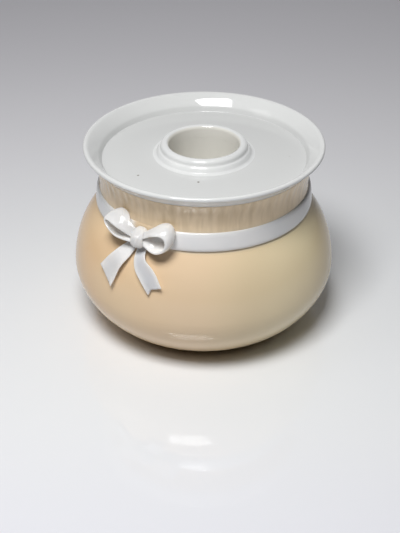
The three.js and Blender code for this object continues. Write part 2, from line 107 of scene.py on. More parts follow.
GATHER_SWELL_SCALE = 9.0
GATHER_RISE_SCALE = 9.0  # how fast both change with height
GATHER_SEED = 4.0
GATHER_SWELL_SEED = 7.0  # step of the seed from the first noise to the second

# Ribbon
RIBBON_LOW_Z = RIBBON_SOLID_LOW_Z - 0.55
RIBBON_TOP_Z = RIBBON_SOLID_TOP_Z - 0.1
RIBBON_PROUD = 0.8
RIBBON_EDGE = 0.15  # how proud the ribbon's very edges stand
RIBBON_EASE = 1.5  # width of the rounding inside each edge
RIBBON_CROWN = 0.12  # how far the middle of the face stands proud of its sides
RIBBON_SUNK = 0.4  # depth of its back in the neck
BED_FALL = 0.35  # fall of the bow's bed for each millimetre past the ribbon's edges

# Drip dish
RIM_SEAT_Z = MOUTH_Z + SLIP
RIM_TOUCH = 0.03  # what the glaze leaves of the gap between rim and mouth
DISH_FLOOR_Z = HEIGHT - 5.65
FLOOR_CROWN = 1.25  # rise of the domed floor from its edge to the axis
FLOOR_DOME_RADIUS = 35.2
FLOOR_RADIUS = 34.6
FILLET_RUN = 0.25
FILLET_DIP = 0.1
COLLAR_BED_RADIUS = 16.0  # where the dome ends under the collar
COLLAR_BED_STEP = 0.4
PLUG_PLAY = 0.05
BEVEL_SLOPE = 0.6  # inward run of the plug for each millimetre down

# The rim's curves, each point by its inset from the dish's radius and its drop from the crest
RIM_FLARE = [(2.0, 2.8), (0.15, 1.2)]
RIM_LIP = [(-0.15, 0.85), (0, 0), (0.8, 0)]
RIM_CREST = [(1.3, 0), (1.9, 0.45)]
RIM_SLOPE = [(2.9, 1.3), (5.15, 3.4), (6.0, 5.3)]

# Candle cup
CUP_MOUTH_RADIUS = 12.0
CUP_SEAT_RADIUS = 11.3
CUP_WALL = 2.2
CUP_FLOOR = 2.5
CUP_SEAT_EASE = 0.8
CUP_FOOT_EASE = 1.6
CUP_TOP_EASE = 0.3
SEAT_Z = CUP_UNDER_Z + CUP_FLOOR
TOUCH = 0.02  # gap left under the collar, and how far the cup runs up into the plug

# Collar: the curves' points are (radius, drop from the crest)
COLLAR_FOOT_RADIUS = 16.75
COLLAR_FOOT_RUN = 0.7  # how far the foot thins out over the floor
COLLAR_FOOT_TURN = 0.1
COLLAR_FOOT_INSET = 0.5
COLLAR_FOOT_RISE = 0.48
COLLAR_STEP = [(15.55, 2.25), (15.3, 2.18)]
COLLAR_WALL = [(14.85, 2.0), (14.8, 1.25)]
COLLAR_LIP = [(14.75, 0.55), (14.2, 0), (13.2, 0)]
COLLAR_ROLL_RADIUS = 12.2
COLLAR_ROLL_DROP = 1.15
COLLAR_SEAT_Z = 61.8
COLLAR_SEAT_RADIUS = 15.5
COLLAR_SKIRT_RADIUS = 16.1

# Bow: distances round the pot and heights are from where the loops meet
BOW_ANGLE = math.radians(-31.3)
BOW_Z = 49.0
ARC_RADIUS = 40.15  # the circle that distances round the pot are taken on
BED_REACH = 1.5  # the shoulder's slope is taken over this far up and down
STRIP = 0.8  # thickness of the rolled clay strip
STRIP_EDGE = 0.44  # rounding of its long edges
BOW_CLEARANCE = 0.05  # least gap between the bow and its bed

KNOT_WIDTH = 4.7
KNOT_SHIFT = -0.6
KNOT_HIGH = 1.75
KNOT_HIGH_FRONT = 0.8
KNOT_LOW = 2.1
KNOT_LOW_FRONT = 3.0
KNOT_CROWN = 0.5  # swelling of the front up and down
KNOT_SWELL = 0.42  # swelling of the front from side to side
KNOT_SHOULDER = 1.05  # how far its sides run down into the loops
KNOT_WAIST = 0.08  # share of the width lost half-way down
KNOT_BACK = 0.9  # how far its inner face is pressed into the roots
KNOT_CREASES = [
    {"slant": 0.9, "shift": -0.55, "width": 0.17, "depth": 0.2},
    {"slant": 0.5, "shift": 0.35, "width": 0.14, "depth": 0.12},
]

ROOT_LENGTH = 4.1  # run of a loop's root over the tails
ROOT_FADE = 1.8  # in root lengths, where the loop is back on the ribbon
ROOT_HEIGHT = 1.6  # the two strips of a loop pinched together
ROOT_PROUD = 3.1
OVER_TAILS = STRIP + 3 * SLIP
LOOP_PROUD = 5.1  # front edge of the loops at their tips
LOOP_SPREAD = (0.1, 0.7)  # shares of the reach between which the front edge comes forward
LOOP_BULGE = 0.9  # swelling of the loops between their two edges
LOOP_HALF_WIDTH = 2.3

# Loops: an edge on the pot and an edge at the brim, each a teardrop that starts at the knot
LEFT_LOOP = {
    "side": -1,
    "base": {"reach": 12.8, "height": 8.8, "climb": 1.9, "taper": 2.0, "drop": -0.9},
    "brim": {"reach": 13.8, "height": 3.9, "climb": 2.3, "taper": 1.3, "drop": 2.1},
}
RIGHT_LOOP = {
    "side": 1,
    "base": {"reach": 12.0, "height": 7.4, "climb": 2.3, "taper": 1.7, "drop": -0.9},
    "brim": {"reach": 10.4, "height": 6.6, "climb": 1.2, "taper": 1.1, "drop": 1.3},
}

TAIL_LIFT = 0.9  # how far a tail arches off the pot
TAIL_FLAT = 0.15  # share of a tail that lies flat under the knot
TAIL_WAVES = 1.3  # ripples along the free part
TAIL_TWIST = 1.1  # how far a ripple runs ahead at one side
TAIL_HALF_WIDTH = 2.4
CUT_SHARPNESS = 6  # how closely a slant or a notch keeps to the cut end
CUT_THIN = 0.15  # share of the thickness left at the cut end
CUT_ROUND = 22  # one over the share of the tail that thins towards it

# Tails: points down the middle as (distance round the pot, height, width)
LEFT_TAIL = {
    "path": [
        (-2.0, 0.0, 2.3),
        (-4.6, -6.1, 4.3),
        (-6.6, -9.6, 5.2),
        (-8.2, -12.5, 6.1),
        (-10.0, -16.4, 7.4),
    ],
    "notch": 0.0,
    "notch_place": 0.0,
    "slant": 0.9,
    "cup": 0.65,
    "ripple": 0.3,
    "kick": 0.3,
    "tilt": 0.0,
}
RIGHT_TAIL = {
    "path": [
        (1.0, 0.0, 2.5),
        (0.2, -5.8, 3.5),
        (1.5, -9.2, 4.2),
        (4.9, -12.2, 5.2),
        (7.6, -15.9, 5.0),
    ],
    "notch": 1.1,
    "notch_place": 0.3,
    "slant": 0.0,
    "cup": 0.6,
    "ripple": 0.45,
    "kick": 0.1,
    "tilt": 0.35,
}

# Cream glaze: painted light and shade from left to right, lighter where the light falls most and darker
# on the shaded right side, each step as (from x, to x, colour)
CREAM_LIT_LEFT = "e6c49b"
CREAM_LIGHT_STEPS = [
    (-44, -2, "e3c9a8"),
    (-2, 17, "dac7a4"),
    (12, 30, "e8d9b4"),
    (34, 44, "d6c39c"),
]
CREAM_CLOUD = "e4cfac"
CREAM_CLOUD_SHARE = 0.4
CREAM_CLOUD_SCALE = 28.0
CREAM_CLOUD_RANGE = (0.35, 0.65)
# painted light: paler from just under the ribbon's lower edge up, lifting the shade in the crevice under
# the ribbon
CREAM_CREVICE_LIGHT = "eadcc4"
CREAM_CREVICE_LIGHT_SHARE = 0.6
CREAM_CREVICE_LIGHT_Z = (SHOULDER_Z - 0.5, SHOULDER_Z + 0.1)
# painted light: the neck is made paler, lifting the shade under the rim's overhang; the same band holds
# the streaks
CREAM_NECK_LIGHT = "f7deba"
CREAM_NECK_LIGHT_SHARE = 0.85
CREAM_NECK_Z = (50, 54)
CREAM_POOL = "b99b6c"
CREAM_POOL_SHARE = 0.22
CREAM_STREAK = "c8ad80"
CREAM_STREAK_SHARE = 0.28
CREAM_STREAK_SCALE = 620.0
CREAM_STREAK_RANGE = (0.38, 0.66)
CREAM_STREAK_DRAWN = (1, 1, 0.1)  # streaks are ten times as long as they are wide
CREAM_ROUGHNESS = 0.05
BARE_CLAY = "ddd6c8"
BARE_CLAY_Z = (0.7, 0.3)
BARE_CLAY_ROUGHNESS = 0.7

# White glazes
WHITE_CLOUD_SCALE = 45.0
WHITE_CLOUD_RANGE = (0.3, 0.7)
DISH_POOL_Z = 62.9
POOL_BLEND = 0.6  # how far over and under its edge a pool fades
POOL_CLOUD_SHARE = 0.25
BORE_TINT = "dfddd6"
BORE_TINT_RADII = (12.7, 12.2)
# painted light: lighter on a strip's edges and its inner face, lifting their shade
STRIP_RIM_LIGHT = "f8f6f3"
STRIP_RIM_LIGHT_SHARE = 0.8
# painted shade: a beige patch at the ribbon's top edge above the knot, in the shade of the bow
KNOT_SHADE_TINT = "cdb38c"
KNOT_SHADE_SHARE = 0.85
KNOT_SHADE_RADII = (6.2, 2.8)
RIBBON_KNOT_SHADE = (-19.5, -32.0, 52.4)
GLOW = 0.5
GLOW_TINT = (1.0, 0.93, 0.85)
GLOW_DEPTH = 2.5

# Every glaze: its ripple is a slow wave and a fine grain
GLAZE_IOR = 1.52
RIPPLE_STRENGTH = 0.04
RIPPLE_DEPTH = 0.1
WAVE_SCALE = 90.0
WAVE_SHARE = 3.0
GRAIN_SCALE = 700.0

# Iron specks on the dish's floor, each as (place, radius, depth of tone)
SPECK_TINT = "6f675c"
SPECK_CORE = 0.25  # share of its radius where a speck is darkest
DISH_SPECKS = [
    ((-21.7, -15.9, 61.67), 0.55, 0.85),
    ((-1.9, -21.0, 61.95), 0.6, 0.9),
    ((29.1, -1.9, 61.4), 0.4, 0.35),
]


# Meshes


def bezier(*stops, steps):
    """Points along a Bezier curve through the given control points."""
    share = np.linspace(0, 1, steps + 1)[:, None]
    layer = [np.repeat(np.array(stop, float)[None], steps + 1, 0) for stop in stops]
    while len(layer) > 1:
        layer = [a + (b - a) * share for a, b in zip(layer, layer[1:])]
    return layer[0]


def catmull(stops, count):
    """Smooth points through the given stops, evenly spread between them."""
    stops = np.array(stops, float)
    padded = np.vstack([2 * stops[0] - stops[1], stops, 2 * stops[-1] - stops[-2]])
    place = np.linspace(0, len(stops) - 1, count)
    leg = np.minimum(place.astype(int), len(stops) - 2)
    t = (place - leg)[:, None]
    a, b, c, d = (padded[leg + k] for k in range(4))
    return 0.5 * (
        2 * b + (c - a) * t + (2 * a - 5 * b + 4 * c - d) * t**2 + (3 * b - a - 3 * c + d) * t**3
    )


def eased(corners):
    """An outline through (radius, height, ease) corners, each rounded over its ease."""
    count = len(corners)
    points = []
    for i, (radius, height, ease) in enumerate(corners):
        corner = np.array([radius, height])
        if not ease:
            points.append(corner)
            continue
        before = np.array(corners[i - 1][:2]) - corner
        after = np.array(corners[(i + 1) % count][:2]) - corner
        start = corner + before / np.linalg.norm(before) * ease
        end = corner + after / np.linalg.norm(after) * ease
        points.extend(bezier(start, corner, end, steps=EASE_STEPS))
    return points


def smooth(value, low, high):
    """A soft step from 0 at low to 1 at high."""
    share = np.clip((value - low) / (high - low), 0, 1)
    return share * share * (3 - 2 * share)


def solid(name, points, faces):
    """A smooth-shaded object from points in millimetres, with its faces outwards."""
    points = np.array(points, float)
    volume = 0.0
    for face in faces:
        for j in range(1, len(face) - 1):
            a, b, c = points[face[0]], points[face[j]], points[face[j + 1]]
            volume += a @ np.cross(b, c)
    if volume < 0:
        faces = [tuple(reversed(face)) for face in faces]
    mesh = bpy.data.meshes.new(name)
    mesh.from_pydata((points * MM).tolist(), [], faces)
    mesh.validate()
    mesh.shade_smooth()
    mesh.set_sharp_from_angle(angle=SHARP_ANGLE)
    made = bpy.data.objects.new(name, mesh)
    bpy.context.scene.collection.objects.link(made)
    return made


def turned(name, outline, steps):
    """A body turned from an outline. It is closed on itself, or starts and ends on the axis."""
    on_axis = 1e-6
    angles = np.arange(steps) * 2 * math.pi / steps
    points, rows = [], []
    for radius, height in outline:
        if radius < on_axis:
            rows.append([len(points)] * steps)
            points.append((0, 0, height))
            continue
        rows.append(list(range(len(points), len(points) + steps)))
        points.extend((radius * math.sin(a), -radius * math.cos(a), height) for a in angles)
    if outline[0][0] > on_axis:
        rows.append(rows[0])
    faces = []
    for low, high in zip(rows, rows[1:]):
        for i in range(steps):
            j = (i + 1) % steps
            face = dict.fromkeys((low[i], low[j], high[j], high[i]))
            faces.append(tuple(face))
    return solid(name, points, faces)


def strip(name, place, half_width, steps, columns):
    """A strip of rolled clay with rounded edges. place(across, along, depth) gives a point, with across
    from -1 to 1, along from 0 to 1, and depth from 1 on the outer face to -1 on the inner one. The
    point attribute rim is 1 on the inner face and rises to 1 at the outer face's edges; it marks where
    painted light lifts the shade of the edges and the inner face."""
    bends = np.radians([0, 14, 30, 48, 68, 90])
    round_off = [(STRIP_EDGE * (1 - math.cos(t)), math.sin(t)) for t in bends]
    left = [(-1 + inset / half_width, thick) for inset, thick in round_off]
    inner = np.linspace(left[-1][0], -left[-1][0], columns)[1:-1]
    stations = left + [(across, 1.0) for across in inner] + [(-a, t) for a, t in reversed(left)]
    stations = stations[1:-1]
    rings = []
    for k in range(steps):
        along = k / (steps - 1)
        front = [place(across, along, thick) for across, thick in stations]
        back = [place(across, along, -thick) for across, thick in reversed(stations)]
        rings.append(front + back)
    count = len(rings[0])
    points = [point for ring in rings for point in ring]
    faces = []
    for k in range(steps - 1):
        here, there = k * count, (k + 1) * count
        for i in range(count):
            j = (i + 1) % count
            faces.append((here + i, here + j, there + j, there + i))
    for start in (0, (steps - 1) * count):
        for i in range(count // 2 - 1):
            face = (start + i, start + i + 1, start + count - 2 - i, start + count - 1 - i)
            faces.append(face if start else face[::-1])
    made = solid(name, points, faces)
    outer_edge_light = [abs(across) ** 3 for across, _ in stations]
    rim = made.data.attributes.new("rim", "FLOAT", "POINT")
    rim.data.foreach_set("value", (outer_edge_light + [1.0] * len(stations)) * len(rings))
    return made


# Materials


def metres(sizes):
    """Sizes or places in millimetres, as the nodes read them."""
    return [value * MM for value in sizes]


def material_nodes(name):
    """A new material, its node tree and the Object coordinates that its patterns read."""
    material = bpy.data.materials.new(name)
    material.use_nodes = True
    tree = material.node_tree
    tree.nodes.clear()
    return material, tree, add(tree, "ShaderNodeTexCoord").outputs["Object"]


def add(tree, kind, inputs=None, **settings):
    """A node with its settings and inputs; an input is a value or another node's output."""
    node = tree.nodes.new(kind)
    for key, value in settings.items():
        setattr(node, key, value)
    for key, value in (inputs or {}).items():
        if isinstance(value, bpy.types.NodeSocket):
            tree.links.new(value, node.inputs[key])
        else:
            node.inputs[key].default_value = value
    return node


def rgb(code):
    """A linear colour from an sRGB code such as d9c29a."""
    parts = [int(code[i : i + 2], 16) / 255 for i in (0, 2, 4)]
    linear = [c / 12.92 if c < 0.04045 else ((c + 0.055) / 1.055) ** 2.4 for c in parts]
    return (*linear, 1.0)


def mix(tree, factor, a, b):
    node = tree.nodes.new("ShaderNodeMix")
    node.data_type = "RGBA"
    for socket, value in ((node.inputs[0], factor), (node.inputs[6], a), (node.inputs[7], b)):
        if isinstance(value, bpy.types.NodeSocket):
            tree.links.new(value, socket)
        else:
            socket.default_value = value
    return node.outputs[2]


def maths(tree, operation, *values):
    return add(tree, "ShaderNodeMath", dict(enumerate(values)), operation=operation).outputs[0]


def vectors(tree, operation, *values, output="Vector"):
    node = add(tree, "ShaderNodeVectorMath", dict(enumerate(values)), operation=operation)
    return node.outputs[output]


def map_range(tree, value, low, high, to_low=0.0, to_high=1.0, kind="SMOOTHSTEP"):
    inputs = {"Value": value, "From Min": low, "From Max": high, "To Min": to_low, "To Max": to_high}
    return add(tree, "ShaderNodeMapRange", inputs, interpolation_type=kind).outputs[0]


def noise(tree, place, scale, detail):
    inputs = {"Vector": place, "Scale": scale, "Detail": detail}
    return add(tree, "ShaderNodeTexNoise", inputs).outputs["Fac"]


def glaze_surface(tree, place, colour, roughness):
    """Glassy coat over the colour, with the faint ripple of a dipped glaze."""
    wave = maths(tree, "MULTIPLY", noise(tree, place, WAVE_SCALE, 2.0), WAVE_SHARE)
    height = maths(tree, "ADD", wave, noise(tree, place, GRAIN_SCALE, 2.0))
    inputs = {"Height": height, "Strength": RIPPLE_STRENGTH, "Distance": RIPPLE_DEPTH * MM}
    bump = add(tree, "ShaderNodeBump", inputs).outputs[0]
    shader = add(tree, "ShaderNodeBsdfPrincipled", {"Base Color": colour, "Normal": bump})
    shader.inputs["Roughness"].default_value = roughness
    shader.inputs["IOR"].default_value = GLAZE_IOR
    out = add(tree, "ShaderNodeOutputMaterial")
    tree.links.new(shader.outputs[0], out.inputs[0])
    return shader


def distance_from(tree, place, point):
    return vectors(tree, "DISTANCE", place, metres(point), output="Value")


def speckle(tree, place, colour, specks):
    """Iron specks in the glaze: dark points with a soft edge."""
    for point, radius, depth in specks:
        away = distance_from(tree, place, point)
        mark = map_range(tree, away, *metres((radius, SPECK_CORE * radius)), 0.0, depth)
        colour = mix(tree, mark, colour, rgb(SPECK_TINT))
    return colour


def cream_glaze():
    """Painted light and shade from left to right, lighter where the light falls most and darker on the
    shaded right; paler from just under the ribbon's lower edge up and paler again on the neck, both
    painted light that lifts their shade; pooled and streaked in the neck's folds, and wiped off the face
    that the foot stands on."""
    material, tree, place = material_nodes("cream_glaze")
    parts = add(tree, "ShaderNodeSeparateXYZ", {0: place}).outputs
    # painted light and shade: the tone steps from left to right as the light falls
    painted_side_light = rgb(CREAM_LIT_LEFT)
    for low, high, tone in CREAM_LIGHT_STEPS:
        painted_side_light = mix(tree, map_range(tree, parts["X"], *metres((low, high))), painted_side_light, rgb(tone))
    cloud = map_range(tree, noise(tree, place, CREAM_CLOUD_SCALE, 2.0), *CREAM_CLOUD_RANGE)
    toned = mix(tree, CREAM_CLOUD_SHARE, painted_side_light, mix(tree, cloud, painted_side_light, rgb(CREAM_CLOUD)))
    # painted light lifting the crevice shade under the ribbon
    crevice_light = map_range(tree, parts["Z"], *metres(CREAM_CREVICE_LIGHT_Z), 0.0, CREAM_CREVICE_LIGHT_SHARE)
    toned = mix(tree, crevice_light, toned, rgb(CREAM_CREVICE_LIGHT))
    # painted light on the neck, lifting the shade under the rim
    neck = map_range(tree, parts["Z"], *metres(CREAM_NECK_Z))
    toned = mix(tree, neck, toned, mix(tree, CREAM_NECK_LIGHT_SHARE, toned, rgb(CREAM_NECK_LIGHT)))
    fold = add(tree, "ShaderNodeAttribute", attribute_name="fold").outputs["Fac"]
    pooled = map_range(tree, fold, 0.0, 1.0, 0.0, CREAM_POOL_SHARE)
    colour = mix(tree, pooled, toned, rgb(CREAM_POOL))
    streaks = noise(tree, vectors(tree, "MULTIPLY", place, CREAM_STREAK_DRAWN), CREAM_STREAK_SCALE, 2.0)
    streak = map_range(tree, streaks, *CREAM_STREAK_RANGE, 0.0, CREAM_STREAK_SHARE)
    colour = mix(tree, maths(tree, "MULTIPLY", streak, neck), colour, rgb(CREAM_STREAK))
    bare = map_range(tree, parts["Z"], *metres(BARE_CLAY_Z))
    colour = mix(tree, bare, colour, rgb(BARE_CLAY))
    shader = glaze_surface(tree, place, colour, CREAM_ROUGHNESS)
    rough = map_range(tree, bare, 0.0, 1.0, CREAM_ROUGHNESS, BARE_CLAY_ROUGHNESS, "LINEAR")
    tree.links.new(rough, shader.inputs["Roughness"])
    return material


def white_glaze(name, clear, pooled, roughness, specks=(), pool_z=None, shade_spot=None, glow=0.0):
    """White glaze that drifts between its clear and its pooled tone, and is pooled below pool_z.
    It is warmer in the candle's bore, and painted light makes it lighter on a strip's rim and inner
    face. Where a place is given for it, a beige patch of painted shade is put there, and glow lets some
    light through thin clay."""
    material, tree, place = material_nodes(name)
    cloud = map_range(tree, noise(tree, place, WHITE_CLOUD_SCALE, 3.0), *WHITE_CLOUD_RANGE)
    if pool_z:
        height = add(tree, "ShaderNodeSeparateXYZ", {0: place}).outputs["Z"]
        level = map_range(tree, height, *metres((pool_z + POOL_BLEND, pool_z - POOL_BLEND)))
        cloud = maths(tree, "MULTIPLY_ADD", cloud, POOL_CLOUD_SHARE, level)
    colour = mix(tree, cloud, rgb(clear), rgb(pooled))
    from_axis = vectors(tree, "LENGTH", vectors(tree, "MULTIPLY", place, (1, 1, 0)), output="Value")
    in_bore = map_range(tree, from_axis, *metres(BORE_TINT_RADII))
    colour = mix(tree, in_bore, colour, rgb(BORE_TINT))
    # painted light: lighter on a strip's edges and inner face, where they are in shade
    rim = add(tree, "ShaderNodeAttribute", attribute_name="rim").outputs["Fac"]
    rim = map_range(tree, rim, 0.0, 1.0, 0.0, STRIP_RIM_LIGHT_SHARE, "LINEAR")
    colour = mix(tree, rim, colour, rgb(STRIP_RIM_LIGHT))
    # painted shade: a beige patch round the given place
    if shade_spot:
        away = distance_from(tree, place, shade_spot)
        shade_mark = map_range(tree, away, *metres(KNOT_SHADE_RADII), 0.0, KNOT_SHADE_SHARE)
        colour = mix(tree, shade_mark, colour, rgb(KNOT_SHADE_TINT))
    colour = speckle(tree, place, colour, specks)
    shader = glaze_surface(tree, place, colour, roughness)
    if glow:
        shader.inputs["Subsurface Weight"].default_value = glow
        shader.inputs["Subsurface Radius"].default_value = GLOW_TINT
        shader.inputs["Subsurface Scale"].default_value = GLOW_DEPTH * MM
    return material


# Pot: the turned body first, then its gathers


def shoulder_curve(steps):
    return bezier(
        (BELLY_RADIUS, BELLY_Z),
        (BELLY_RADIUS, BELLY_Z + BELLY_LIFT),
        (SHOULDER_RADIUS + SHOULDER_SLOPE, SHOULDER_Z - SHOULDER_SLOPE),
        (SHOULDER_RADIUS, SHOULDER_Z),
        steps=steps,
    )


def neck_curve(top, steps):
    return bezier(
        (WAIST_RADIUS, WAIST_Z),
        (WAIST_RADIUS, (WAIST_Z + MOUTH_Z) / 2),
        (MOUTH_RADIUS, top),
        steps=steps,
    )


def pot_outline():
    """Round the wall: the foot first, then up the outside and down the inside."""
    foot_inner = FOOT_RADIUS - FOOT_WIDTH
    foot = [
        (VENT_RADIUS, FOOT_RECESS, 0),
        (foot_inner, FOOT_RECESS, RECESS_EASE),
        (foot_inner, 0, FOOT_INNER_EASE),
        (FOOT_RADIUS, 0, FOOT_OUTER_EASE),
        (FOOT_RADIUS, FOOT_EDGE, 0),
    ]
    belly = bezier(
        (FOOT_RADIUS, FOOT_EDGE),
        (FOOT_RADIUS + BASE_SPREAD, FOOT_EDGE),
        (BELLY_RADIUS, BELLY_Z - BELLY_FULLNESS),
        (BELLY_RADIUS, BELLY_Z),
        steps=32,
    )
    shoulder = shoulder_curve(32)
    outside = [*belly[1:], *shoulder[1:], *neck_curve(MOUTH_Z - MOUTH_EDGE, 22)]
    mouth = [
        (MOUTH_RADIUS - MOUTH_EDGE_TILT, MOUTH_Z),
        (MOUTH_RADIUS - MOUTH_LAND, MOUTH_Z),
        (MOUTH_RADIUS - LEDGE_INSET, LEDGE_Z),
        (MOUTH_RADIUS - LEDGE_INSET - LEDGE_WIDTH, LEDGE_Z),
        (WAIST_RADIUS - POT_WALL, WAIST_Z),
    ]
    inside = []
    for curve in (shoulder[::-4], belly[::-4]):
        for point, ahead in zip(curve, curve[1:]):
            along = (point - ahead) / np.linalg.norm(point - ahead)
            inside.append((point[0] - POT_WALL * along[1], point[1] + POT_WALL * along[0]))
    inside.append((VENT_RADIUS, FOOT_EDGE + POT_WALL))
    return [*eased(foot)[:-1], (FOOT_RADIUS, FOOT_EDGE), *outside, *mouth, *inside]


def gather_tree(material):
    """Draws the neck up in folds: they deepen from the ribbon to the mouth and are a little uneven.
    The point attribute fold keeps how deep each place is."""
    tree = bpy.data.node_groups.new("drawn_neck", "GeometryNodeTree")
    face = tree.interface
    face.new_socket("Geometry", in_out="INPUT", socket_type="NodeSocketGeometry")
    sizes = {
        "Fold Count": float(GATHER_COUNT),
        "Fold Depth": GATHER_DEPTH * MM,
        "Fold Start": (WAIST_Z + GATHER_START) * MM,
        "Fold Full": (WAIST_Z + GATHER_FULL) * MM,
        "Neck Radius": (WAIST_RADIUS - GATHER_SKIN) * MM,
        "Unevenness": GATHER_UNEVENNESS,
        "Seed": GATHER_SEED,
    }
    for name, value in sizes.items():
        socket = face.new_socket(name, in_out="INPUT", socket_type="NodeSocketFloat")
        socket.default_value = value
    face.new_socket("Geometry", in_out="OUTPUT", socket_type="NodeSocketGeometry")
    given = tree.nodes.new("NodeGroupInput").outputs

    def sums(operation, *values):
        return maths(tree, operation, *values)

    place = add(tree, "GeometryNodeInputPosition").outputs[0]
    parts = add(tree, "ShaderNodeSeparateXYZ", {0: place}).outputs
    angle = sums("ARCTAN2", parts[0], sums("MULTIPLY", parts[1], -1.0))
    radius = sums("SQRT", sums("ADD", sums("POWER", parts[0], 2.0), sums("POWER", parts[1], 2.0)))
    rise = map_range(tree, parts[2], given["Fold Start"], given["Fold Full"])
    skin = sums("GREATER_THAN", radius, given["Neck Radius"])
    height = sums("MULTIPLY", parts[2], GATHER_RISE_SCALE)
    round_neck = {0: sums("SINE", angle), 1: sums("COSINE", angle), 2: height}
    circle = add(tree, "ShaderNodeCombineXYZ", round_neck).outputs[0]

    def wander(seed, scale):
        inputs = {"Vector": circle, "W": seed, "Scale": scale, "Detail": 1.0}
        return add(tree, "ShaderNodeTexNoise", inputs, noise_dimensions="4D").outputs["Fac"]

    sway = sums("MULTIPLY", wander(given["Seed"], GATHER_SWAY_SCALE), GATHER_SWAY)
    swell = wander(sums("ADD", given["Seed"], GATHER_SWELL_SEED), GATHER_SWELL_SCALE)
    turn = sums("MULTIPLY_ADD", angle, given["Fold Count"], sway)
    crease = sums("POWER", sums("MULTIPLY_ADD", sums("COSINE", turn), -0.5, 0.5), GATHER_SHARPNESS)
    even = sums("SUBTRACT", 1.0, given["Unevenness"])
    deeper = sums("MULTIPLY", given["Unevenness"], GATHER_SWELL)
    amount = sums("MULTIPLY_ADD", swell, deeper, even)
    fold = sums("MULTIPLY", sums("MULTIPLY", sums("MULTIPLY", crease, amount), rise), skin)
    inwards = sums("MULTIPLY", given["Fold Depth"], -1.0)
    push = sums("DIVIDE", sums("MULTIPLY", fold, inwards), radius)
    inward_move = {0: sums("MULTIPLY", parts[0], push), 1: sums("MULTIPLY", parts[1], push)}
    offset = add(tree, "ShaderNodeCombineXYZ", inward_move).outputs[0]
    kept = add(
        tree,
        "GeometryNodeStoreNamedAttribute",
        {"Geometry": given["Geometry"], "Name": "fold", "Value": fold},
        data_type="FLOAT",
        domain="POINT",
    )
    moved = add(tree, "GeometryNodeSetPosition", {"Geometry": kept.outputs[0], "Offset": offset})
    real = add(tree, "GeometryNodeRealizeInstances", {"Geometry": moved.outputs[0]})
    glazed = add(tree, "GeometryNodeSetMaterial", {"Geometry": real.outputs[0], "Material": material})
    out = tree.nodes.new("NodeGroupOutput")
    tree.links.new(glazed.outputs[0], out.inputs[0])
    return tree, sizes


def gather(made, tree, values):
    """Runs the tree on the object with the named values and keeps the result as its plain mesh."""
    modifier = made.modifiers.new("folds", "NODES")
    modifier.node_group = tree
    for item in tree.interface.items_tree:
        if item.in_out == "INPUT" and item.name in values:
            modifier[item.identifier] = values[item.name]
    graph = bpy.context.evaluated_depsgraph_get()
    result = bpy.data.meshes.new_from_object(made.evaluated_get(graph))
    made.modifiers.remove(modifier)
    made.data = result


# Dish, collar, cup and ribbon


def bore(z):
    """Radius of the one tapering bore that runs through collar, dish and cup."""
    share = (z - SEAT_Z) / (COLLAR_CREST_Z - SEAT_Z)
    return CUP_SEAT_RADIUS + share * (CUP_MOUTH_RADIUS - CUP_SEAT_RADIUS)


def dish_floor(radius):
    """Height of the dish's floor, which rises gently to the collar like a shallow dome."""
    return DISH_FLOOR_Z + FLOOR_CROWN * (1 - (radius / FLOOR_DOME_RADIUS) ** 2)


def rim_points(points):
    return [(DISH_RADIUS - inset, HEIGHT - drop) for inset, drop in points]


def dish_outline():
    """Plug under the dish, trumpet-shaped rim with a round lip, steep inner wall and domed floor."""
    seat = MOUTH_Z + RIM_TOUCH
    flare = bezier((MOUTH_RADIUS, seat), *rim_points(RIM_FLARE), steps=16)
    lip = bezier(flare[-1], *rim_points(RIM_LIP), steps=14)
    crest = bezier(lip[-1], *rim_points(RIM_CREST), steps=8)
    slope = bezier(crest[-1], *rim_points(RIM_SLOPE), steps=24)
    fillet = bezier(
        slope[-1],
        (FLOOR_RADIUS + FILLET_RUN, dish_floor(FLOOR_RADIUS + FILLET_DIP)),
        (FLOOR_RADIUS, dish_floor(FLOOR_RADIUS)),
        steps=4,
    )
    dome = [(radius, dish_floor(radius)) for radius in np.linspace(FLOOR_RADIUS, COLLAR_BED_RADIUS, 13)]
    plug_radius = MOUTH_RADIUS - MOUTH_LAND - PLUG_PLAY
    return [
        (bore(DISH_UNDER_Z), DISH_UNDER_Z),
        (plug_radius - BEVEL_SLOPE * (RIM_SEAT_Z - DISH_UNDER_Z), DISH_UNDER_Z),
        (plug_radius, seat),
        *flare,
        *lip[1:],
        *crest[1:],
        *slope[1:],
        *fillet[1:],
        *dome[1:],
        (COLLAR_BED_RADIUS - COLLAR_BED_STEP, COLLAR_SEAT_Z),
        (bore(COLLAR_SEAT_Z), COLLAR_SEAT_Z),
    ]


def collar_points(points):
    return [(radius, COLLAR_CREST_Z - drop) for radius, drop in points]


